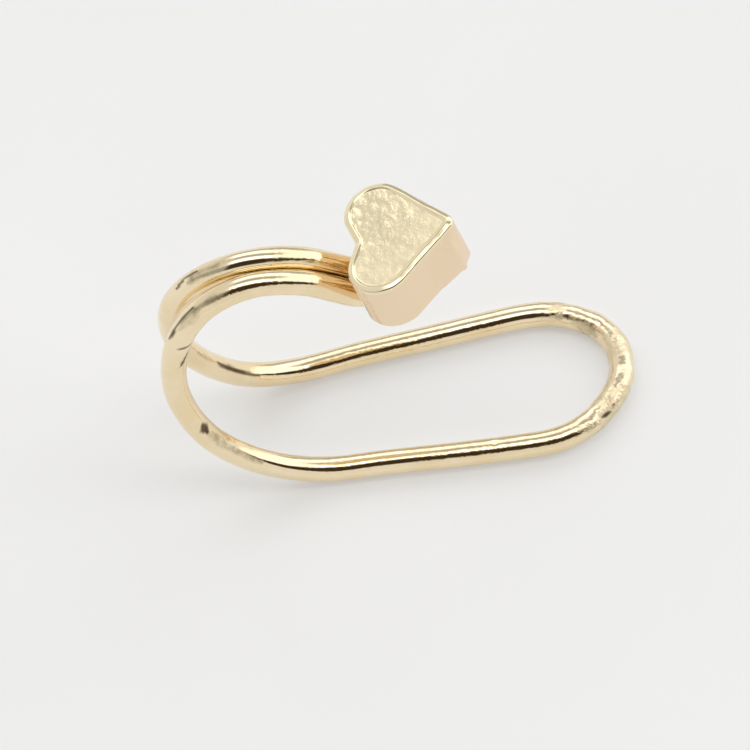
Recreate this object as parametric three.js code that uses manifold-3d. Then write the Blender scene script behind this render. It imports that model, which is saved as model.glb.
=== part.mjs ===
// A clip-on earring lying on its loop: one bent wire that squeezes the ear lobe between its loop
// and its two upper strands, and a thick cast heart that the strands end under.
// Millimetres, +Z up, +X along the loop away from the heel, the origin at the bottom centre.
import * as THREE from 'three';
import { mergeVertices } from 'three/addons/utils/BufferGeometryUtils.js';
import Module from 'manifold-3d';

// Wire.
const wireDiameter = 1.2;
const strandGap = 0.05;       // between the two strands where they lie side by side
const clipLength = 21.66;     // wire centre to wire centre, from the heel to the end of the loop
const loopHalfWidth = 3.6;    // from the middle of the loop to the wire's centre, at its widest
const humpHeight = 14.75;     // from the lying wire's centre to the upper strands' highest point
const heelSkew = 0.167;       // how much further along the far side of the heel lies, for its width

// Heart, seen from its front with the tip towards +X.
const lobeRadius = 1.56;
const lobeOffset = 1.58;      // from the heart's middle line to the centre of each lobe
const tipReach = 3.63;        // from the line through the lobe centres to the tip
const tipRadius = 0.47;
const cleftReach = 1.1;       // from that line back to where the cleft's straight sides meet
const cleftRadius = 0.25;     // rounding of that corner
const heartThickness = 3.0;
const edgeRound = 0.16;       // rounding of the front and back edges
const rimWidth = 0.26;
const recessDepth = 0.12;
const gateLength = 2.1;       // stub of the casting gate, along the heart's side
const gateHeight = 2.1;       // the same, across the heart's thickness
const gateStand = 0.42;       // how far it stands out of the side

// Where the heart sits, and how the strands meet its back.
const heartAlong = 0.497;     // share of the clip's length, from the heel
const heartUp = 0.826;        // share of the hump's height, at the heart's back
const heartPitch = 16.8;      // degrees, tip up
const heartRoll = 9.1;        // degrees, front leaning towards the far side
const heartTurn = -7.2;       // degrees, about the heart's own front-to-back line
const seatReach = 1.2;        // how far the strands run on past the lobe centres
const seatSink = 0.15;        // how far the strands sink into the heart's back
const seatClearance = 0.25;   // between a strand and its groove

// How finely round things are cut.
const wireSides = 12;
const wireSteps = 176;
const lobeSteps = 20;
const tipSteps = 6;
const cleftSteps = 3;
const grooveSteps = 16;

const wireRadius = wireDiameter / 2;
const halfPitch = (wireDiameter + strandGap) / 2;

// Direction that the heart's straight sides face, from its middle line.
const sideAngle = Math.PI - Math.atan2(lobeOffset, tipReach - tipRadius)
  - Math.acos((tipRadius - lobeRadius) / Math.hypot(tipReach - tipRadius, lobeOffset));
// How far each of the cleft's straight sides leans back from the line through the lobe centres.
const cleftLean = Math.atan2(lobeOffset, cleftReach)
  + Math.asin(lobeRadius / Math.hypot(cleftReach, lobeOffset)) - Math.PI / 2;

// Each half of the loop that lies flat, from the round end to the arm: along as a share of the
// clip's length, across as a share of the loop's half width. The wire was bent by hand, so the far
// half is a little shorter and rounder.
const nearLoop = [
  { along: 0.994, across: 0.19 },
  { along: 0.969, across: 0.46 },
  { along: 0.924, across: 0.73 },
  { along: 0.870, across: 0.92 },
  { along: 0.813, across: 1.00 },
  { along: 0.752, across: 0.995 },
  { along: 0.600, across: 0.925 },
  { along: 0.447, across: 0.83 },
];
const farLoop = [
  { along: 0.996, across: 0.29 },
  { along: 0.973, across: 0.53 },
  { along: 0.932, across: 0.735 },
  { along: 0.878, across: 0.875 },
  { along: 0.813, across: 0.925 },
  { along: 0.740, across: 0.915 },
  { along: 0.590, across: 0.873 },
  { along: 0.447, across: 0.84 },
];

// The heel and the hump, from the arm to the heart: along as a share of the clip's length, up as a
// share of the hump's height, and open, how far a strand is from lying against the other one, as a
// share of the way to the loop's half width.
const heel = [
  { along: 0.308, up: 0.007, open: 0.718 },
  { along: 0.189, up: 0.080, open: 0.605 },
  { along: 0.095, up: 0.224, open: 0.476 },
  { along: 0.030, up: 0.413, open: 0.371 },
  { along: 0.002, up: 0.620, open: 0.282 },
  { along: 0.017, up: 0.807, open: 0.149 },
  { along: 0.076, up: 0.942, open: 0.046 },
  { along: 0.170, up: 1.000, open: 0.000 },
  { along: 0.283, up: 0.959, open: 0.000 },
  { along: 0.407, up: 0.817, open: 0.000 },
];
const skewedFrom = 0.22;      // share of the hump's height by which the heel's skew is complete
const peakAcross = 0.05;      // the round end's furthest point, across, as a share of the half width

// The strands' turn under the heart, in the heart's own frame before its turn: reach as a share of
// the lobes' radius, rise as a share of the wire's radius above the seated line.
const turnUnder = [
  { reach: -0.92, rise: 0.78 },
  { reach: -0.54, rise: 0.22 },
  { reach: -0.06, rise: 0.00 },
];

const radians = THREE.MathUtils.degToRad;
const seatPose = new THREE.Matrix4()
  .makeRotationFromEuler(new THREE.Euler(-radians(heartRoll), -radians(heartPitch), 0, 'YXZ'))
  .setPosition(heartAlong * clipLength, 0, heartUp * humpHeight);

const wasm = await Module();
wasm.setup();

function solidOf(geometry) {
  const bare = geometry.index ? geometry.toNonIndexed() : geometry.clone();
  bare.deleteAttribute('normal');
  bare.deleteAttribute('uv');
  const merged = mergeVertices(bare, 1e-5);
  return new wasm.Manifold(new wasm.Mesh({
    numProp: 3,
    vertProperties: new Float32Array(merged.attributes.position.array),
    triVerts: new Uint32Array(merged.index.array),
  }));
}

function geometryOf(solid) {
  const mesh = solid.getMesh();
  const geometry = new THREE.BufferGeometry();
  geometry.setAttribute('position', new THREE.BufferAttribute(mesh.vertProperties, 3));
  geometry.setIndex(new THREE.BufferAttribute(mesh.triVerts, 1));
  geometry.computeVertexNormals();
  return geometry;
}

function circle(radius) {
  const corners = [];
  for (let i = 0; i < wireSides; i += 1) {
    const angle = (2 * Math.PI * i) / wireSides;
    corners.push(new THREE.Vector2(radius * Math.cos(angle), radius * Math.sin(angle)));
  }
  return new THREE.Shape(corners);
}

// One strand from the loop's end to the heart. side is -1 for the near strand and 1 for the far one.
function strand(side, loop) {
  const points = loop.map(({ along, across }) => new THREE.Vector3(
    along * clipLength,
    side * across * loopHalfWidth,
    0,
  ));
  for (const { along, up, open } of heel) {
    const across = side * (halfPitch + open * (loopHalfWidth - halfPitch));
    const skew = heelSkew * Math.min(1, up / skewedFrom);
    points.push(new THREE.Vector3(along * clipLength + skew * across, across, up * humpHeight));
  }
  const seated = -(wireRadius - seatSink);
  for (const { reach, rise } of turnUnder) {
    points.push(new THREE.Vector3(
      reach * lobeRadius,
      side * halfPitch,
      seated + rise * wireRadius,
    ).applyMatrix4(seatPose));
  }
  points.push(new THREE.Vector3(seatReach, side * halfPitch, seated).applyMatrix4(seatPose));
  return points;
}

function earWire() {
  const peak = new THREE.Vector3(clipLength, peakAcross * loopHalfWidth, 0);
  const route = [...strand(-1, nearLoop).reverse(), peak, ...strand(1, farLoop)];
  return new THREE.ExtrudeGeometry(circle(wireRadius), {
    steps: wireSteps,
    extrudePath: new THREE.CatmullRomCurve3(route, false, 'centripetal'),
  });
}

// The heart's outline, moved in by inset all round: a tip arc, a lobe arc on each side and a small
// cleft arc between them, all joined by straight sides that touch them.
function heartOutline(inset) {
  const tipCentre = tipReach - tipRadius;
  const cleftCentre = -(cleftReach + cleftRadius / Math.cos(cleftLean));
  const points = [];
  const arc = (x, y, radius, from, to, steps) => {
    for (let i = 0; i <= steps; i += 1) {
      const angle = from + ((to - from) * i) / steps;
      const point = new THREE.Vector2(x + radius * Math.cos(angle), y + radius * Math.sin(angle));
      if (points.length === 0 || point.distanceTo(points.at(-1)) > 1e-4) points.push(point);
    }
  };
  const lobe = lobeRadius - inset;
  arc(tipCentre, 0, tipRadius - inset, -sideAngle, sideAngle, tipSteps);
  arc(0, lobeOffset, lobe, sideAngle, Math.PI + cleftLean, lobeSteps);
  arc(cleftCentre, 0, cleftRadius + inset, cleftLean, -cleftLean, cleftSteps);
  arc(0, -lobeOffset, lobe, Math.PI - cleftLean, 2 * Math.PI - sideAngle, lobeSteps);
  return new THREE.Shape(points);
}

// The two grooves that the strands lie in: the last stretch of each strand, thicker by the
// clearance and a little longer, brought into the heart's own frame.
function seatGrooves() {
  const toHeart = seatPose.clone().invert();
  const turnBack = new THREE.Matrix4().makeRotationZ(-radians(heartTurn));
  const [near, far] = [-1, 1].map((side) => {
    const stretch = strand(side, []).slice(-(turnUnder.length + 2));
    const end = stretch.at(-1);
    const beyond = end.clone().sub(stretch.at(-2)).setLength(seatClearance).add(end);
    const groove = new THREE.ExtrudeGeometry(circle(wireRadius + seatClearance), {
      steps: grooveSteps,
      extrudePath: new THREE.CatmullRomCurve3([...stretch, beyond], false, 'centripetal'),
    });
    groove.applyMatrix4(toHeart).applyMatrix4(turnBack);
    return solidOf(groove);
  });
  return near.add(far);
}

// The stub that the casting gate left on the near side, by the tip: an oval pad with a round edge.
function gateStub() {
  const pad = new THREE.Shape();
  pad.absellipse(0, 0, gateLength / 2, gateHeight / 2, 0, 2 * Math.PI, false, 0);
  const round = gateStand / 2;
  const stub = new THREE.ExtrudeGeometry(new THREE.Shape(pad.getPoints(lobeSteps).slice(0, -1)), {
    depth: 2 * gateStand - round,
    bevelThickness: round,
    bevelSize: round,
    bevelOffset: -round,
    bevelSegments: 3,
  });
  stub.translate(gateLength / 2, -(gateHeight / 2 + edgeRound), -gateStand);
  // The pad's x runs along the side from the tip, its y down to the back, its z out of the side.
  const out = new THREE.Vector3(Math.cos(-sideAngle), Math.sin(-sideAngle), 0);
  const down = new THREE.Vector3(0, 0, -1);
  const along = new THREE.Vector3().crossVectors(down, out);
  stub.applyMatrix4(new THREE.Matrix4().makeBasis(along, down, out).setPosition(
    tipReach - tipRadius + tipRadius * out.x,
    tipRadius * out.y,
    0,
  ));
  return solidOf(stub);
}

function heart() {
  const body = new THREE.ExtrudeGeometry(heartOutline(0), {
    depth: heartThickness - 2 * edgeRound,
    bevelThickness: edgeRound,
    bevelSize: edgeRound,
    bevelOffset: -edgeRound,
    bevelSegments: 2,
  });
  body.translate(0, 0, edgeRound);
  const recess = new THREE.ExtrudeGeometry(heartOutline(rimWidth), {
    depth: 2 * recessDepth,
    bevelEnabled: false,
  });
  recess.translate(0, 0, heartThickness - recessDepth);
  return geometryOf(solidOf(body)
    .add(gateStub())
    .subtract(solidOf(recess))
    .subtract(seatGrooves()));
}

function named(name, geometry, material) {
  const mesh = new THREE.Mesh(geometry, material);
  mesh.name = name;
  return mesh;
}

const wireGold = new THREE.MeshStandardMaterial({ color: 0xdcc08a, metalness: 1, roughness: 0.16 });
const heartGold = new THREE.MeshStandardMaterial({ color: 0xe6d09c, metalness: 1, roughness: 0.28 });

const earring = new THREE.Group();
earring.add(named('ear_wire', earWire(), wireGold));

const seat = new THREE.Group();
seat.applyMatrix4(seatPose);
const heartMesh = named('heart', heart(), heartGold);
heartMesh.rotation.z = radians(heartTurn);
seat.add(heartMesh);
earring.add(seat);

// The origin goes to the middle of the underside, where the loop rests.
const box = new THREE.Box3().setFromObject(earring, true);
const middle = box.getCenter(new THREE.Vector3());
earring.position.set(-middle.x, -middle.y, -box.min.z);

export default earring;
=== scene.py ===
# A gold clip-on earring lying on its loop on a pale table: one bent wire and a thick cast heart.
from math import acos, asin, atan2, cos, hypot, pi, radians, sin, tan

import bmesh
import bpy
from mathutils import Matrix, Vector, noise
from mathutils.geometry import interpolate_bezier, intersect_point_line


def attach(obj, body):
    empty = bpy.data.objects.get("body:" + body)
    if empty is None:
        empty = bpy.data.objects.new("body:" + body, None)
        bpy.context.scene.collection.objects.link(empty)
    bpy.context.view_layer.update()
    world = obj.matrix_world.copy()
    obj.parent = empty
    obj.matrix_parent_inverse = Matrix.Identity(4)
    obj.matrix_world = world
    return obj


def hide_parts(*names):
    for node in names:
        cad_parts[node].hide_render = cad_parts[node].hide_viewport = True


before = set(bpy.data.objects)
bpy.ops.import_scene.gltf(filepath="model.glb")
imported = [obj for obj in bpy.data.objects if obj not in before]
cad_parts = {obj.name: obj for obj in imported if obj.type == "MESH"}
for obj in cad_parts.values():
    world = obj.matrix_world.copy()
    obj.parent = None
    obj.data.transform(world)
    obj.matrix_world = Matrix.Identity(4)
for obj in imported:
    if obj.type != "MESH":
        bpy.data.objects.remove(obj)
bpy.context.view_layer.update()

# Sizes, in millimetres.
MM = 0.001

WIRE_RADIUS = 0.6
STRAND_GAP = 0.05
CLIP_LENGTH = 21.66
LOOP_HALF_WIDTH = 3.6
HUMP_HEIGHT = 14.75
HEEL_SKEW = 0.167
SKEWED_FROM = 0.22
PEAK_ACROSS = 0.05
HALF_PITCH = WIRE_RADIUS + STRAND_GAP / 2

# Along as a share of the clip's length, across as a share of the loop's half width.
NEAR_LOOP = [(0.994, 0.19), (0.969, 0.46), (0.924, 0.73), (0.870, 0.92),
             (0.813, 1.00), (0.752, 0.995), (0.600, 0.925), (0.447, 0.83)]
FAR_LOOP = [(0.996, 0.29), (0.973, 0.53), (0.932, 0.735), (0.878, 0.875),
            (0.813, 0.925), (0.740, 0.915), (0.590, 0.873), (0.447, 0.84)]
# Along, up as a share of the hump's height, and how far the strands are open.
HEEL = [(0.308, 0.007, 0.718), (0.189, 0.080, 0.605), (0.095, 0.224, 0.476),
        (0.030, 0.413, 0.371), (0.002, 0.620, 0.282), (0.017, 0.807, 0.149),
        (0.076, 0.942, 0.046), (0.170, 1.000, 0.000), (0.283, 0.959, 0.000),
        (0.407, 0.817, 0.000)]
# The strands' turn under the heart: reach in lobe radii, rise in wire radii.
TURN_UNDER = [(-0.92, 0.78), (-0.54, 0.22), (-0.06, 0.00)]

LOBE_RADIUS = 1.56
LOBE_OFFSET = 1.58
TIP_REACH = 3.63
TIP_RADIUS = 0.47
CLEFT_REACH = 1.1
CLEFT_RADIUS = 0.25
THICKNESS = 3.0
HEART_ALONG = 0.497
HEART_UP = 0.826
HEART_PITCH = radians(16.8)
HEART_ROLL = radians(9.1)
HEART_TURN = radians(-7.2)
SEAT_REACH = 1.2
SEAT_SINK = 0.15

# From the heel's middle, where the wire's path starts, to the middle of the underside.
TO_ORIGIN = Matrix.Translation((-10.7277, 0.1391, 0.61))
SEAT_POSE = (Matrix.Translation((HEART_ALONG * CLIP_LENGTH, 0, HEART_UP * HUMP_HEIGHT))
             @ Matrix.Rotation(-HEART_PITCH, 4, "Y") @ Matrix.Rotation(-HEART_ROLL, 4, "X"))
HEART_POSE = TO_ORIGIN @ SEAT_POSE @ Matrix.Rotation(HEART_TURN, 4, "Z")


# Small helpers.
def ease(low, high, value):
    """0 below low, 1 above high, and a soft step between them. low may be the larger."""
    share = min(1, max(0, (value - low) / (high - low)))
    return share * share * (3 - 2 * share)


def lumps(place, per_mm, height, shift=(0, 0, 0)):
    """Smooth noise at a place, of so many lumps to the millimetre and so high."""
    return noise.noise(place * per_mm + Vector(shift)) * height


def in_scene(bm, name):
    """The bmesh as an object in the scene."""
    mesh = bpy.data.meshes.new(name)
    bm.to_mesh(mesh)
    bm.free()
    thing = bpy.data.objects.new(name, mesh)
    bpy.context.scene.collection.objects.link(thing)
    return thing


def finished(bm, name, node=None):
    """The bmesh, in millimetres in the earring's frame, as a smooth object on the root body."""
    bmesh.ops.scale(bm, vec=(MM, MM, MM), verts=bm.verts)
    bmesh.ops.recalc_face_normals(bm, faces=bm.faces)
    for face in bm.faces:
        face.smooth = True
    piece = in_scene(bm, name)
    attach(piece, "root")
    if node:
        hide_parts(node)
    return piece


def extruded_ring(bm, edges):
    """The open ring of edges extruded once in place: its new vertices and edges."""
    made = bmesh.ops.extrude_edge_only(bm, edges=edges)["geom"]
    verts = [part for part in made if isinstance(part, bmesh.types.BMVert)]
    fresh = set(verts)
    ring = [part for part in made
            if isinstance(part, bmesh.types.BMEdge) and fresh.issuperset(part.verts)]
    return verts, ring


def middle_of(verts):
    return sum((vert.co for vert in verts), Vector()) / len(verts)


# The bent wire.
WIRE_SIDES = 36
STATION = 0.08          # between one ring of the wire and the next
KINK_PASSES = 40        # smooths the bends between the route's points
WIRE_END = [(0.94, 0.07), (0.80, 0.12), (0.5, 0.14)]    # share of the radius, and how far out
ROUND_END = (6.4, 9.0)  # the skin begins to be pressed, and is fully pressed, this far along
# Centre, radius and depth.
DENTS = [((-9.66, -2.15, 5.85), 0.45, 0.05), ((3.99, -3.25, 1.20), 0.18, 0.04)]
# Marks on the wire: start, end, half width and tone. Brown marks are dark streaks and spots, the
# copper mark is worn plating, and olive marks are painted shade where the wire looks darker. A
# mark narrows to a share of its width at its ends, and fades from a share of its half width
# outwards.
MARK_TIP = 0.35
MARK_CORE = 0.4
# The second tone is painted shade in olive.
BROWN, PAINTED_SHADE, COPPER = 0, 1, 2
MARKS = [((-9.80, -2.10, 6.27), (-9.56, -2.20, 5.60), 0.31, BROWN),
         ((-9.60, -2.18, 5.60), (-8.46, -2.37, 3.89), 0.32, PAINTED_SHADE),
         ((-8.90, -2.30, 4.50), (-7.09, -2.64, 2.50), 0.24, PAINTED_SHADE),
         ((-11.20, -0.78, 12.42), (-10.12, -1.39, 12.64), 0.13, BROWN),
         ((-10.71, -1.49, 12.58), (-10.08, -1.37, 12.69), 0.13, BROWN),
         ((-10.72, -1.70, 11.25), (-10.21, -1.38, 12.16), 0.13, BROWN),
         ((-11.04, -1.01, 12.83), (-10.61, -0.87, 13.71), 0.13, BROWN),
         ((-10.61, -0.87, 13.71), (-9.81, -0.68, 14.76), 0.13, BROWN),
         ((-10.56, -1.07, 13.65), (-9.42, -0.80, 15.03), 0.32, PAINTED_SHADE),
         ((-9.42, -0.80, 15.03), (-8.43, -0.75, 15.59), 0.22, PAINTED_SHADE),
         ((-10.24, 1.01, 13.79), (-9.79, 1.09, 14.44), 0.13, BROWN),
         ((-9.79, 1.09, 14.44), (-9.22, 1.03, 15.02), 0.13, BROWN),
         ((-9.77, 0.79, 14.45), (-8.69, 0.82, 15.40), 0.28, PAINTED_SHADE),
         ((-8.69, 0.82, 15.40), (-7.73, 0.81, 15.81), 0.18, PAINTED_SHADE),
         ((-9.26, 1.55, 6.65), (-8.23, 1.86, 4.73), 0.11, PAINTED_SHADE),
         ((-8.23, 1.86, 4.73), (-6.80, 2.10, 2.75), 0.17, BROWN),
         ((-7.60, 1.97, 3.75), (-6.10, 2.20, 2.10), 0.15, BROWN),
         ((9.15, 2.57, 1.08), (10.02, 1.58, 0.83), 0.50, PAINTED_SHADE),
         ((9.90, -2.31, 1.12), (9.95, -2.20, 1.10), 0.22, COPPER),
         ((9.28, -2.97, 1.06), (9.74, -2.70, 0.97), 0.14, BROWN)]


def strand(side, loop):
    """The route of one strand, from the round end to the heart. side is -1 for the near one."""
    points = [Vector((along * CLIP_LENGTH, side * across * LOOP_HALF_WIDTH, 0))
              for along, across in loop]
    for along, up, opened in HEEL:
        across = side * (HALF_PITCH + opened * (LOOP_HALF_WIDTH - HALF_PITCH))
        skew = HEEL_SKEW * min(1, up / SKEWED_FROM)
        points.append(Vector((along * CLIP_LENGTH + skew * across, across, up * HUMP_HEIGHT)))
    seated = -(WIRE_RADIUS - SEAT_SINK)
    under = [(reach * LOBE_RADIUS, rise * WIRE_RADIUS) for reach, rise in TURN_UNDER]
    for reach, rise in under + [(SEAT_REACH, 0)]:
        points.append(SEAT_POSE @ Vector((reach, side * HALF_PITCH, seated + rise)))
    return points


def flowing(points, per_span):
    """A centripetal curve through the points."""
    first, last = 2 * points[0] - points[1], 2 * points[-1] - points[-2]
    padded = [first, *points, last]
    path = []
    for a, b, c, d in zip(padded, padded[1:], padded[2:], padded[3:]):
        before, span, after = ((q - p).length ** 0.5 for p, q in ((a, b), (b, c), (c, d)))
        leave = ((b - a) / before - (c - a) / (before + span) + (c - b) / span) * span
        arrive = ((c - b) / span - (d - b) / (span + after) + (d - c) / after) * span
        path += interpolate_bezier(b, b + leave / 3, c - arrive / 3, c, per_span)[:-1]
    return [*path, points[-1]]


def evenly(path, step):
    """The path as stations a step apart."""
    stations = [path[0]]
    left = step
    for start, end in zip(path, path[1:]):
        span = (end - start).length
        while left <= span:
            stations.append(start.lerp(end, left / span))
            left += step
        left -= span
    return stations


def unkinked(stations, passes):
    """The stations, each drawn towards its neighbours in every pass."""
    for _ in range(passes):
        inner = [(a + 2 * b + c) / 4
                 for a, b, c in zip(stations, stations[1:], stations[2:])]
        stations = [stations[0], *inner, stations[-1]]
    return stations


def wire_route():
    """The middle of the whole wire, from the near strand's end to the far strand's end."""
    peak = Vector((CLIP_LENGTH, PEAK_ACROSS * LOOP_HALF_WIDTH, 0))
    points = strand(-1, NEAR_LOOP)[::-1] + [peak] + strand(1, FAR_LOOP)
    route = unkinked(evenly(flowing(points, 60), STATION), KINK_PASSES)
    return [TO_ORIGIN @ point for point in route]


def knocks(place):
    """How far the wire's skin is pushed in or out at a place, from bending and handling."""
    skin = lumps(place, 1.5, 0.006)
    pressed = lumps(place, 1.5, 0.040, (7, 0, 3)) + lumps(place, 3.9, 0.014, (2, 5, 1))
    dents = sum(depth * ease(radius, 0, (place - Vector(centre)).length)
                for centre, radius, depth in DENTS)
    return skin + ease(*ROUND_END, place.x) * pressed - dents


def marks_and_shade(place):
    """How brown, how copper and how darkened by painted olive shade the wire is at a place, each
    from 0 to 1.
    """
    tones = [0, 0, 0]
    frayed = 1.1 + lumps(place, 3, 0.3)
    for start, end, reach, tone in MARKS:
        start, end = Vector(start), Vector(end)
        share = min(1, max(0, intersect_point_line(place, start, end)[1]))
        edge = reach * frayed * (MARK_TIP + (1 - MARK_TIP) * sin(pi * share))
        gap = (place - start.lerp(end, share)).length
        tones[tone] = max(tones[tone], ease(edge, MARK_CORE * edge, gap))
    return tones


def draw_wire():
    """The wire, swept ring by ring along its route. Its drawn attribute is where each point was
    while the wire was still straight, and its marks attribute holds its brown marks, worn copper
    and painted olive shade."""
    route = wire_route()
    bm = bmesh.new()
    drawn = bm.verts.layers.float_vector.new("drawn")
    marks = bm.verts.layers.float_vector.new("marks")
    ring = bmesh.ops.create_circle(bm, segments=WIRE_SIDES, radius=WIRE_RADIUS)["verts"]
    for vert in ring:
        vert[drawn] = vert.co
    heading = (route[1] - route[0]).normalized()
    turn = Vector((0, 0, 1)).rotation_difference(heading).to_matrix().to_4x4()
    bmesh.ops.transform(bm, matrix=Matrix.Translation(route[0]) @ turn, verts=ring)
    edges = first = list(bm.edges)
    travel = 0
    for here, there, beyond in zip(route, route[1:], route[2:] + route[-1:]):
        onward = (beyond - here).normalized()
        bend = heading.rotation_difference(onward).to_matrix().to_4x4()
        verts, edges = extruded_ring(bm, edges)
        step = Matrix.Translation(there) @ bend @ Matrix.Translation(-here)
        bmesh.ops.transform(bm, matrix=step, verts=verts)
        travel += (there - here).length
        for vert in verts:
            vert[drawn] = (*vert[drawn][:2], travel)
        heading = onward
    round_off(bm, first, route[0], (route[0] - route[1]).normalized())
    round_off(bm, edges, route[-1], heading)
    for vert in bm.verts:
        station = route[min(len(route) - 1, round(vert[drawn].z / STATION))]
        outward = (vert.co - station).normalized()
        vert[marks] = marks_and_shade(vert.co)
        vert.co += outward * knocks(vert.co)
    return finished(bm, "bent_wire", "ear_wire")


def round_off(bm, edges, centre, outward):
    """A cut end with a filed edge."""
    for share, stand in WIRE_END:
        verts, edges = extruded_ring(bm, edges)
        middle = middle_of(verts)
        now = (verts[0].co - middle).length
        bmesh.ops.scale(bm, vec=[share * WIRE_RADIUS / now] * 3,
                        space=Matrix.Translation(-middle), verts=verts)
        bmesh.ops.translate(bm, vec=centre + outward * stand - middle, verts=verts)
    bmesh.ops.contextual_create(bm, geom=edges)


# The cast heart.
CUT = 0.05              # between one point of the heart's outline and the next
BACK_ROWS = 12
EDGE_ROWS = 8           # round the back edge, and round the front edge
WALL_ROWS = 44
BEVEL_ROWS = 4
FALL_ROWS = 6
FRONT_FADE = 4          # the rows over which the rim's look turns into the front's
FLOOR_ROWS = 34
FRONT_ROUND = 0.12      # rounding of the front edge, below its bevel
BEVEL_LEAN = radians(25)
BEVEL = 0.15            # the bevel seen from the front
BACK_ROUND = 0.26
RIM_TOP = 0.04          # the rim's flat crest
RIM_FALL = 0.13         # the slope from the rim down to the sunken front
RIM_WAVER = 0.020
SUNK = 0.06
HEART_MIDDLE = Vector((0.9, 0, 0))

# The stub of the casting gate, measured from the tip's end of the near straight side. In a pair
# of distances or heights, it is not there yet at the first and in full at the second.
GATE_FACING = 0.97      # of a wall that it stands on: the cosine of its turn from that side
GATE_START = (-0.30, 0.55)
GATE_LENGTH = 2.1
GATE_END = 0.28         # the length of its slope down at its other end
GATE_CORNER = 0.25      # how much that end is rounded, seen from the side
GATE_STAND = 0.38       # how far it stands out from the wall
GATE_TAPER = (0.4, 1.7)
GATE_THIN = 0.50        # the share of its stand that it loses along the taper
GATE_FOOT = (-0.15, 0.45)
GATE_TOP = (2.90, 1.10)
GATE_ROWS = 2.6         # rows of the wall above this height are left alone
BURR = (0.45, 0.28)     # along and up
BURR_REACH = 0.26
BURR_STAND = 0.10

SIDE_ANGLE = (pi - atan2(LOBE_OFFSET, TIP_REACH - TIP_RADIUS)
              - acos((TIP_RADIUS - LOBE_RADIUS) / hypot(TIP_REACH - TIP_RADIUS, LOBE_OFFSET)))
CLEFT_LEAN = (atan2(LOBE_OFFSET, CLEFT_REACH)
              + asin(LOBE_RADIUS / hypot(CLEFT_REACH, LOBE_OFFSET)) - pi / 2)


def heart_outline(bm):
    """The heart's outline as one ring of vertices in order, from the tip round the far side."""
    cleft = -(CLEFT_REACH + CLEFT_RADIUS / cos(CLEFT_LEAN))
    arcs = [(TIP_REACH - TIP_RADIUS, 0, TIP_RADIUS, -SIDE_ANGLE, SIDE_ANGLE),
            (0, LOBE_OFFSET, LOBE_RADIUS, SIDE_ANGLE, pi + CLEFT_LEAN),
            (cleft, 0, CLEFT_RADIUS, CLEFT_LEAN, -CLEFT_LEAN),
            (0, -LOBE_OFFSET, LOBE_RADIUS, pi - CLEFT_LEAN, 2 * pi - SIDE_ANGLE)]
    ends = []
    for x, y, radius, start, end in arcs:
        centre = Vector((x, y, 0))
        first = centre + radius * Vector((cos(start), sin(start), 0))
        steps = max(4, round(abs(end - start) * max(radius, 0.5) / CUT))
        bmesh.ops.spin(bm, geom=[bm.verts.new(first)], cent=centre, axis=(0, 0, 1),
                       angle=end - start, steps=steps)
        ends.append((first, centre + radius * Vector((cos(end), sin(end), 0))))
    for (_, leave), (arrive, _) in zip(ends, ends[1:] + ends[:1]):
        pair = [min(bm.verts, key=lambda vert: (vert.co - spot).length)
                for spot in (leave, arrive)]
        straight = bm.edges.new(pair)
        cuts = max(1, round(straight.calc_length() / CUT) - 1)
        bmesh.ops.subdivide_edges(bm, edges=[straight], cuts=cuts)
    ring = [max(bm.verts, key=lambda vert: vert.co.x)]
    ahead = max((edge.other_vert(ring[0]) for edge in ring[0].link_edges),
                key=lambda vert: vert.co.y)
    while ahead is not ring[0]:
        ring.append(ahead)
        ahead = next(edge.other_vert(ahead) for edge in ahead.link_edges
                     if edge.other_vert(ahead) is not ring[-2])
    return ring


def heart_profile():
    """(inset, height) up the heart's side, from its back edge over the rim to the front."""
    rows = []
    for i in range(EDGE_ROWS + 1):
        angle = pi / 2 * i / EDGE_ROWS
        rows.append((BACK_ROUND * (1 - sin(angle)), BACK_ROUND * (1 - cos(angle))))
    turn = pi / 2 - BEVEL_LEAN
    top = THICKNESS - BEVEL * tan(BEVEL_LEAN) - FRONT_ROUND * sin(turn)
    for i in range(1, WALL_ROWS + 1):
        rows.append((0, BACK_ROUND + (top - BACK_ROUND) * i / WALL_ROWS))
    for i in range(1, EDGE_ROWS + 1):
        angle = turn * i / EDGE_ROWS
        rows.append((FRONT_ROUND * (1 - cos(angle)), top + FRONT_ROUND * sin(angle)))
    inset, height = rows[-1]
    for i in range(1, BEVEL_ROWS + 1):
        rows.append((inset + BEVEL * i / BEVEL_ROWS,
                     height + (THICKNESS - height) * i / BEVEL_ROWS))
    crest = inset + BEVEL + RIM_TOP
    rows.append((crest, THICKNESS))
    for i in range(1, FALL_ROWS + 1):
        share = i / FALL_ROWS
        rows.append((crest + RIM_FALL * share, THICKNESS - SUNK * ease(0, 1, share)))
    return rows


def gate_push(place, outward):
    """How far the wall stands out where the casting gate was cut off, by the tip."""
    near_side = Vector((cos(-SIDE_ANGLE), sin(-SIDE_ANGLE), 0))
    if outward.dot(near_side) < GATE_FACING:
        return 0
    start = Vector((TIP_REACH - TIP_RADIUS, 0, 0)) + TIP_RADIUS * near_side
    away = Vector((-near_side.y, near_side.x, 0))
    if away.x > 0:
        away.negate()
    along = (place - start).dot(away)
    wedge = 1 - GATE_THIN * ease(*GATE_TAPER, along)
    corner = GATE_LENGTH - GATE_CORNER * (place.z - 1) ** 2
    sides = ease(*GATE_START, along) * ease(corner, corner - GATE_END, along)
    height = ease(*GATE_TOP, place.z) * ease(*GATE_FOOT, place.z)
    fold = lumps(place, 1.1, 0.05, (0, 0, 9))
    burr = BURR_STAND * ease(BURR_REACH, 0.0, hypot(along - BURR[0], place.z - BURR[1]))
    return (GATE_STAND * wedge + fold) * sides * height + burr


def unevenness(place):
    """How far the front stands up or down at a place; it is roughest on the far lobe."""
    rougher = 0.25 + 0.75 * ease(0.2, 1.6, place.y)
    return (lumps(place, 1.3, 0.022) + lumps(place, 3.1, 0.012, (0, 3, 7))) * rougher


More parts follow.
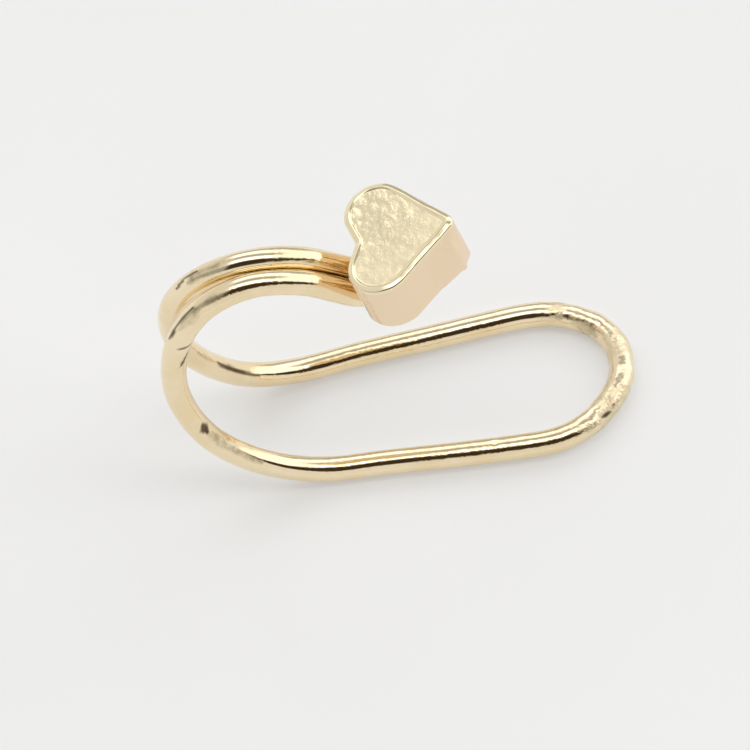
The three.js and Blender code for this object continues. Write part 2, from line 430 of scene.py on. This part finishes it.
def cast_heart():
    """The heart: its outline raised up the side, over the rim and in to the middle of the front.
    Its front attribute is 1 on the sunken front, its rim attribute on the rim as well."""
    bm = bmesh.new()
    front = bm.verts.layers.float.new("front")
    rim = bm.verts.layers.float.new("rim")
    ring = heart_outline(bm)
    edges = back_edges = list(bm.edges)
    outline = [vert.co.copy() for vert in ring]
    outward = []
    for before, after in zip(outline[-1:] + outline[:-1], outline[1:] + outline[:1]):
        run = (after - before).normalized()
        outward.append(Vector((run.y, -run.x, 0)))

    profile = heart_profile()
    last = len(profile) - 1
    places = {vert: index for index, vert in enumerate(ring)}
    for row, (inset, height) in enumerate(profile):
        if row:
            verts, edges = extruded_ring(bm, edges)
            below = {vert: [edge.other_vert(vert) for edge in vert.link_edges] for vert in verts}
            places = {vert: next(places[other] for other in others if other in places)
                      for vert, others in below.items()}
        for vert, index in places.items():
            vert.co = outline[index] - outward[index] * inset + Vector((0, 0, height))
            if not row:
                continue
            push = gate_push(vert.co, outward[index]) if height < GATE_ROWS else 0
            vert.co += outward[index] * (push + lumps(vert.co, 0.8, 0.012, (5, 5, 5)))
            if height > THICKNESS - BEVEL:
                vert.co += outward[index] * noise.noise(vert.co * 1.6) * RIM_WAVER
                vert.co.z += lumps(vert.co, 1.4, 0.014, (0, 4, 0))
            vert[front] = ease(last - FRONT_FADE, last, row)
            vert[rim] = ease(THICKNESS - 2.5 * BEVEL, THICKNESS - BEVEL, height)
    close_flat(bm, edges, FLOOR_ROWS, THICKNESS - SUNK)
    for vert in bm.verts:
        if vert[front] > 0.99:
            vert.co.z += unevenness(vert.co)
    close_flat(bm, back_edges, BACK_ROWS, 0)
    bmesh.ops.transform(bm, matrix=HEART_POSE, verts=bm.verts)
    return finished(bm, "cast_heart", "heart")


def close_flat(bm, edges, rows, level):
    """Rings drawn in towards the heart's middle, down or up to a level, and closed to a point."""
    middle = Vector((HEART_MIDDLE.x, 0, level))
    for row in range(1, rows):
        verts, edges = extruded_ring(bm, edges)
        share = 1 - 1 / (rows + 1 - row)
        evened = max(0.3, 1 - row / 8)
        bmesh.ops.scale(bm, vec=(share, share, evened), verts=verts,
                        space=Matrix.Translation(-middle))
    verts, edges = extruded_ring(bm, edges)
    bmesh.ops.pointmerge(bm, verts=verts, merge_co=middle)


SOLDER_LENGTH = 1.25    # these two are measured from the mound's middle
SOLDER_WIDTH = 1.05
SOLDER_ALONG = 0.55
SOLDER_TOP = 0.12       # its flat top, inside the heart's back
# Share of the length, and how far below the top.
SOLDER_ROWS = [(0.97, -0.16), (0.90, -0.28), (0.78, -0.37), (0.60, -0.42), (0.35, -0.45)]


def solder_seat():
    """The low mound of solder that holds the strands' ends to the heart's back."""
    bm = bmesh.new()
    ring = bmesh.ops.create_circle(bm, segments=64, radius=1)["verts"]
    edges = list(bm.edges)
    bmesh.ops.scale(bm, vec=(SOLDER_LENGTH, SOLDER_WIDTH, 1), verts=ring)
    bmesh.ops.translate(bm, vec=(SOLDER_ALONG, 0, SOLDER_TOP), verts=ring)
    for share, sink in SOLDER_ROWS:
        verts, edges = extruded_ring(bm, edges)
        middle = middle_of(verts)
        reach = max((vert.co - middle).length for vert in verts)
        bmesh.ops.scale(bm, vec=[share * SOLDER_LENGTH / reach] * 3,
                        space=Matrix.Translation(-middle), verts=verts)
        bmesh.ops.translate(bm, vec=(0, 0, sink + SOLDER_TOP - middle.z), verts=verts)
    bmesh.ops.contextual_create(bm, geom=edges)
    bmesh.ops.contextual_create(bm, geom=[edge for edge in bm.edges if edge.is_boundary])
    for vert in bm.verts:
        vert.co += vert.co.normalized() * noise.noise(vert.co * 1.5) * 0.06
    bmesh.ops.transform(bm, matrix=TO_ORIGIN @ SEAT_POSE, verts=bm.verts)
    return finished(bm, "seat_solder")


# Finishes.
class Nodes:
    """The node tree of a material or of the world, built one node at a time."""

    def __init__(self, owner):
        owner.use_nodes = True
        self.tree = owner.node_tree
        self.tree.nodes.clear()

    def feed(self, socket, value):
        """Links another node's output to the socket, or sets the socket to a plain value."""
        if isinstance(value, bpy.types.NodeSocket):
            self.tree.links.new(value, socket)
        else:
            socket.default_value = value

    def add(self, kind, inputs=None, **settings):
        made = self.tree.nodes.new(kind)
        for key, value in settings.items():
            setattr(made, key, value)
        for key, value in (inputs or {}).items():
            self.feed(made.inputs[key], value)
        return made

    def between(self, value, low, high, to_low=0.0, to_high=1.0):
        """to_low where the value is low, to_high where it is high, and a soft step between."""
        made = self.add("ShaderNodeMapRange", {"Value": value, "From Min": low, "From Max": high,
                                               "To Min": to_low, "To Max": to_high},
                        interpolation_type="SMOOTHSTEP")
        return made.outputs["Result"]

    def blend(self, share, first, second):
        """The first colour at a share of 0, the second at 1."""
        made = self.add("ShaderNodeMix", {0: share, 6: first, 7: second}, data_type="RGBA")
        return made.outputs[2]


class Finish(Nodes):
    """A material with one shader."""

    def __init__(self, name):
        self.material = bpy.data.materials.new(name)
        super().__init__(self.material)
        self.shader = self.add("ShaderNodeBsdfPrincipled")
        self.add("ShaderNodeOutputMaterial", {"Surface": self.shader.outputs[0]})

    def place(self):
        return self.add("ShaderNodeTexCoord").outputs["Object"]

    def attribute(self, name, output="Fac"):
        return self.add("ShaderNodeAttribute", attribute_name=name).outputs[output]

    def grain(self, vector, scale, detail=3.0, roughness=0.5, stretch=(1, 1, 1)):
        """Noise from 0 to 1. stretch above 1 makes it finer along that axis."""
        mapped = self.add("ShaderNodeMapping", {"Vector": vector, "Scale": stretch})
        made = self.add("ShaderNodeTexNoise", {"Vector": mapped.outputs[0], "Scale": scale,
                                               "Detail": detail, "Roughness": roughness})
        return made.outputs["Fac"]

    def plus(self, first, second):
        return self.add("ShaderNodeMath", {0: first, 1: second}, operation="ADD").outputs[0]

    def times(self, first, second):
        return self.add("ShaderNodeMath", {0: first, 1: second}, operation="MULTIPLY").outputs[0]

    def relief(self, height, distance, strength, over=None):
        """The surface's normal with bumps. over is the normal that they are added to."""
        inputs = {"Height": height, "Distance": distance, "Strength": strength}
        if over:
            inputs["Normal"] = over
        return self.add("ShaderNodeBump", inputs).outputs[0]

    def wear(self, **sockets):
        """The material, with the shader's own sockets set or linked."""
        names = {"colour": "Base Color", "roughness": "Roughness", "normal": "Normal",
                 "metallic": "Metallic", "glow": "Emission Color",
                 "glow_strength": "Emission Strength"}
        for key, value in sockets.items():
            self.feed(self.shader.inputs[names[key]], value)
        return self.material


PALE_GOLD = (0.93, 0.79, 0.55, 1)
DEEP_GOLD = (0.89, 0.73, 0.47, 1)
OLIVE_GOLD = (0.68, 0.61, 0.42, 1)
WALL_GOLD = (0.90, 0.72, 0.51, 1)
FRONT_GOLD = (0.92, 0.80, 0.54, 1)
# The olive of the painted shade on the wire.
PAINTED_SHADE_OLIVE = (0.42, 0.36, 0.21, 1)
BARE_COPPER = (0.85, 0.50, 0.40, 1)
DARK_BROWN = (0.05, 0.02, 0.008, 1)
TABLE_TONES = ((0.56, 0.56, 0.56, 1), (0.58, 0.58, 0.577, 1))
# The table's glow is painted light, which lightens the shadows on it.
TABLE_GLOW = 0.32

SCUFFED = (0.0072, 0.0096)      # the scuffs begin, and are in full, this far along, in metres
# The heart's front is roughest round this spot on the far lobe.
ROUGH_SPOT = HEART_POSE @ Vector((-0.6, 1.7, THICKNESS)) * MM
ROUGH_REACH = (0.0036, 0.0012)


def plated_wire():
    """Bright plating over drawn wire, with fine lines along it and scuffs at the round end."""
    finish = Finish("plated wire")
    place = finish.place()
    drawn = finish.attribute("drawn", "Vector")
    marks = finish.attribute("marks", "Vector")
    brown, painted_shade, copper = finish.add("ShaderNodeSeparateXYZ", {0: marks}).outputs
    along = finish.add("ShaderNodeSeparateXYZ", {0: place}).outputs["X"]
    round_end = finish.between(along, *SCUFFED)
    lines = finish.grain(drawn, scale=9.0, detail=2.0, stretch=(1, 1, 0.02))
    peel = finish.grain(place, scale=900.0, detail=2.0)
    patches = finish.grain(place, scale=420.0, detail=4.0, roughness=0.6)
    pitting = finish.grain(place, scale=5200.0, roughness=0.6)
    scratches = finish.grain(place, scale=1500.0, detail=6.0, roughness=0.65)
    scuffs = finish.between(scratches, low=0.42, high=0.60)
    rubbed = finish.times(round_end, finish.between(patches, low=0.38, high=0.56))
    # Noise that varies how deep the painted olive shade is.
    shade_noise = finish.grain(place, scale=1300.0, detail=4.0, roughness=0.6)
    shades = finish.between(shade_noise, low=0.40, high=0.62, to_low=0.30, to_high=0.85)

    colour = finish.blend(finish.between(patches, low=0.35, high=0.65), PALE_GOLD, DEEP_GOLD)
    # The second share of olive is painted shade, darkening the wire where it looks darker.
    for share, tone in ((finish.times(rubbed, 0.30), OLIVE_GOLD),
                        (finish.times(painted_shade, shades), PAINTED_SHADE_OLIVE),
                        (finish.times(copper, 0.75), BARE_COPPER),
                        (finish.times(brown, 0.92), DARK_BROWN)):
        colour = finish.blend(share, colour, tone)

    shine = finish.plus(finish.between(lines, low=0.3, high=0.7, to_low=0.09, to_high=0.13),
                        finish.times(rubbed, 0.07))
    shine = finish.plus(shine, finish.times(finish.plus(painted_shade, brown), 0.15))

    pitted = finish.times(finish.between(patches, low=0.42, high=0.54), 0.6)
    skin = finish.relief(lines, distance=0.00002, strength=0.10)
    skin = finish.relief(peel, distance=0.00003, strength=0.14, over=skin)
    skin = finish.relief(pitting, distance=0.00002, strength=finish.plus(pitted, round_end),
                         over=skin)
    skin = finish.relief(scuffs, distance=0.00006, strength=finish.times(rubbed, 0.7), over=skin)
    return finish.wear(colour=colour, roughness=shine, normal=skin, metallic=1.0)


def cast_gold():
    """Plating over a casting: bright on the rim and sides, satin and uneven on the front, most
    of all on the far lobe."""
    finish = Finish("cast gold")
    place = finish.place()
    front = finish.attribute("front")
    clouds = finish.grain(place, scale=520.0, detail=5.0, roughness=0.55)
    folds = finish.grain(place, scale=2100.0, detail=2.0)
    pits = finish.between(finish.grain(place, scale=5600.0, detail=2.0), low=0.56, high=0.70)
    coarse = finish.between(clouds, low=0.40, high=0.60)
    away = finish.add("ShaderNodeVectorMath", {0: place, 1: ROUGH_SPOT}, operation="DISTANCE")
    rougher = finish.between(away.outputs["Value"], *ROUGH_REACH, to_low=0.20, to_high=0.9)
    dull = finish.times(finish.times(front, coarse), rougher)

    colour = finish.blend(finish.attribute("rim"), WALL_GOLD, FRONT_GOLD)
    colour = finish.blend(finish.times(dull, 0.60), colour, OLIVE_GOLD)
    shine = finish.plus(finish.between(front, low=0.0, high=1.0, to_low=0.12, to_high=0.20),
                        finish.times(dull, 0.10))

    worked = finish.times(front, rougher)
    skin = finish.relief(clouds, distance=0.00008, strength=finish.plus(worked, 0.05))
    skin = finish.relief(folds, distance=0.00005, strength=finish.plus(worked, 0.02), over=skin)
    skin = finish.relief(pits, distance=0.00003, strength=finish.times(dull, 0.7), over=skin)
    return finish.wear(colour=colour, roughness=shine, normal=skin, metallic=1.0)


def dull_solder():
    """Solder with a lumpy skin, duller than the plating."""
    finish = Finish("dull solder")
    blobs = finish.grain(finish.place(), scale=1100.0, detail=4.0, roughness=0.6)
    colour = finish.blend(finish.between(blobs, low=0.3, high=0.7), PALE_GOLD, OLIVE_GOLD)
    shine = finish.between(blobs, low=0.3, high=0.7, to_low=0.28, to_high=0.42)
    skin = finish.relief(blobs, distance=0.00005, strength=0.4)
    return finish.wear(colour=colour, roughness=shine, normal=skin, metallic=1.0)


def table_finish():
    """A white table that glows a little: painted light that lightens the shadows on it."""
    finish = Finish("white table")
    tone = finish.between(finish.grain(finish.place(), scale=30.0), low=0.3, high=0.7)
    return finish.wear(colour=finish.blend(tone, *TABLE_TONES), roughness=0.6, metallic=0.0,
                       glow=(1, 1, 1, 1), glow_strength=TABLE_GLOW)


# Camera and light.
PICTURE = 750                   # pixels
PIXELS_PER_MM = 21.333
VIEW_UP = radians(60)           # how steeply the camera looks down
VIEW_ROUND = radians(12.83)     # the camera stands this far to the left of the near side
DISTANCE = 600                  # from the camera to what it aims at, in millimetres
SENSOR = 36

RIGHT = Vector((cos(VIEW_ROUND), -sin(VIEW_ROUND), 0))
UP = Vector((sin(VIEW_ROUND) * sin(VIEW_UP), cos(VIEW_ROUND) * sin(VIEW_UP), cos(VIEW_UP)))
BACK = RIGHT.cross(UP)
# The middle of the picture, from a spot inside the loop: right, up and towards the camera.
AIM = -0.328 * RIGHT + 1.50 * UP + 4 * BACK - Vector((0.684, -0.139, -0.61))


def set_camera():
    lens = bpy.data.cameras.new("camera")
    lens.sensor_width = SENSOR
    lens.lens = SENSOR * DISTANCE / (PICTURE / PIXELS_PER_MM)
    lens.clip_start = 0.01
    lens.clip_end = 20
    camera = bpy.data.objects.new("camera", lens)
    axes = Matrix((RIGHT, UP, BACK)).transposed().to_4x4()
    camera.matrix_world = Matrix.Translation((AIM + DISTANCE * BACK) * MM) @ axes
    bpy.context.scene.collection.objects.link(camera)
    bpy.context.scene.camera = camera


TABLE_HALF = 1.5                # metres


def set_table():
    bm = bmesh.new()
    bmesh.ops.create_grid(bm, x_segments=1, y_segments=1, size=TABLE_HALF)
    table = in_scene(bm, "table")
    table.data.materials.append(table_finish())


# The white tent round the table has three walls: ahead, and to the left and right. Each goes by
# how far up from the camera a direction lies, in degrees, and how bright it is there. The camera
# looks in through a dark gap, with softboxes above it.
TENT = [(-180, 0.80), (-75, 0.80), (-28, 0.84), (-21, 0.03), (11, 0.03), (16, 0.35), (21, 2.20),
        (35, 2.20), (42, 0.75), (49, 0.45), (60, 0.45), (68, 1.20), (76, 1.70), (90, 1.60),
        (100, 0.60), (110, 0.50), (124, 0.50), (180, 0.50)]
TENT_LEFT = [(-180, 0.85), (-34, 0.85), (-22, 0.40), (8, 0.40), (18, 0.80), (60, 0.78),
             (104, 0.78), (124, 0.85), (180, 0.85)]
TENT_RIGHT = [(-180, 0.80), (-28, 0.84), (-21, 0.03), (8, 0.03), (16, 1.40), (110, 1.40),
              (124, 0.85), (180, 0.85)]
LEFT_WALL_ENDS = (-0.50, -0.34)     # shares to the right, between which two walls blend
RIGHT_WALL_STARTS = (0.45, 0.65)
GAP_TINT = (1.5, 0.95, 0.45)        # of the dark gap, which is warm
GAP_BELOW = 0.1                     # anything darker is part of the gap
TENT_TINT = (1, 1, 0.995)


def set_tent():
    world = bpy.data.worlds.new("tent")
    bpy.context.scene.world = world
    nodes = Nodes(world)

    direction = nodes.add("ShaderNodeTexCoord").outputs["Generated"]
    rightward, upward, backward = (
        nodes.add("ShaderNodeVectorMath", {0: direction, 1: axis}, operation="DOT_PRODUCT")
        .outputs["Value"] for axis in (RIGHT, UP, BACK))
    turn = nodes.add("ShaderNodeMath", {0: upward, 1: backward}, operation="ARCTAN2")
    share = nodes.add("ShaderNodeMapRange", {"Value": turn.outputs[0],
                                             "From Min": -pi, "From Max": pi})

    def wall(stops):
        """The colours of one wall, from its list of angles and brightnesses."""
        ramp = nodes.add("ShaderNodeValToRGB", {"Fac": share.outputs["Result"]})
        marks = ramp.color_ramp.elements
        marks.remove(marks[-1])
        for index, (angle, bright) in enumerate(stops):
            mark = marks[0] if index == 0 else marks.new((angle + 180) / 360)
            mark.position = (angle + 180) / 360
            tint = GAP_TINT if bright < GAP_BELOW else TENT_TINT
            mark.color = [bright * part for part in tint] + [1]
        return ramp.outputs["Color"]

    walls = nodes.blend(nodes.between(rightward, *LEFT_WALL_ENDS), wall(TENT_LEFT), wall(TENT))
    walls = nodes.blend(nodes.between(rightward, *RIGHT_WALL_STARTS), walls, wall(TENT_RIGHT))
    sky = nodes.add("ShaderNodeBackground", {"Color": walls, "Strength": 1.0})
    nodes.add("ShaderNodeOutputWorld", {"Surface": sky.outputs[0]})


LAMP_SPOT = Vector((-0.35, 0.45, 0.75))
LAMP_SIZE = (0.6, 0.5)
LAMP_WATTS = 0.9
LAMP_COLOUR = (1.0, 0.99, 0.97)


def set_lamp():
    """A large soft lamp behind and to the left, which draws the shadows to the lower right."""
    lamp = bpy.data.lights.new("window", "AREA")
    lamp.shape = "RECTANGLE"
    lamp.size, lamp.size_y = LAMP_SIZE
    lamp.energy = LAMP_WATTS
    lamp.color = LAMP_COLOUR
    bulb = bpy.data.objects.new("window", lamp)
    facing = LAMP_SPOT.to_track_quat("Z", "Y").to_matrix().to_4x4()
    bulb.matrix_world = Matrix.Translation(LAMP_SPOT) @ facing
    bulb.visible_glossy = False
    bpy.context.scene.collection.objects.link(bulb)


bpy.context.scene.view_settings.view_transform = "Standard"
set_camera()
set_table()
set_tent()
set_lamp()

wire = draw_wire()
wire.data.materials.append(plated_wire())
heart = cast_heart()
heart.data.materials.append(cast_gold())
seat = solder_seat()
seat.data.materials.append(dull_solder())
